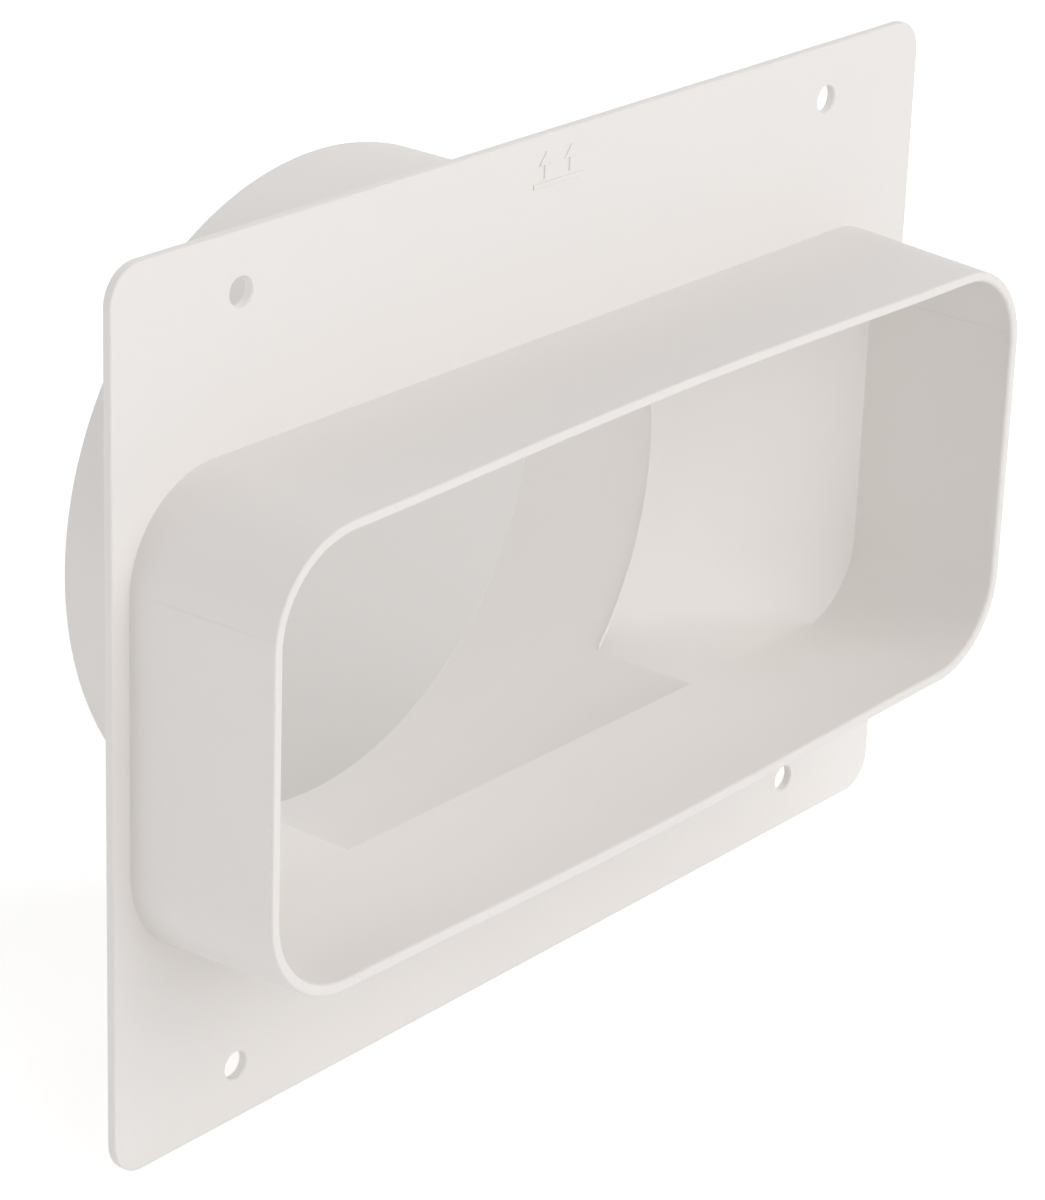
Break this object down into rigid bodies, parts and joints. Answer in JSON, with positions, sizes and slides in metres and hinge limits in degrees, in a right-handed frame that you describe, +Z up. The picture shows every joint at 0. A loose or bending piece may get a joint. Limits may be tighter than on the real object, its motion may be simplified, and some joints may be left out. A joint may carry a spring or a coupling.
{
  "type": "square-to-round wall spigot",
  "caption": "Flat plastic wall plate with a shallow rectangular duct spigot in front, a round pipe spigot behind, and smooth ramps joining the two.",
  "frame": {"origin": "centre of the plate's wall side, midway between the four screw holes and on the round spigot's axis", "axes": "+Z up, +X to the right seen from the room, +Y into the wall along the round spigot"},
  "size_m": [0.23, 0.0913, 0.17],
  "materials": {
    "moulded_plastic": "off-white injection-moulded plastic, finely grained and matte"
  },
  "bodies": {
    "root": {"wall_spigot": "moulded_plastic"}
  },
  "joints": []
}
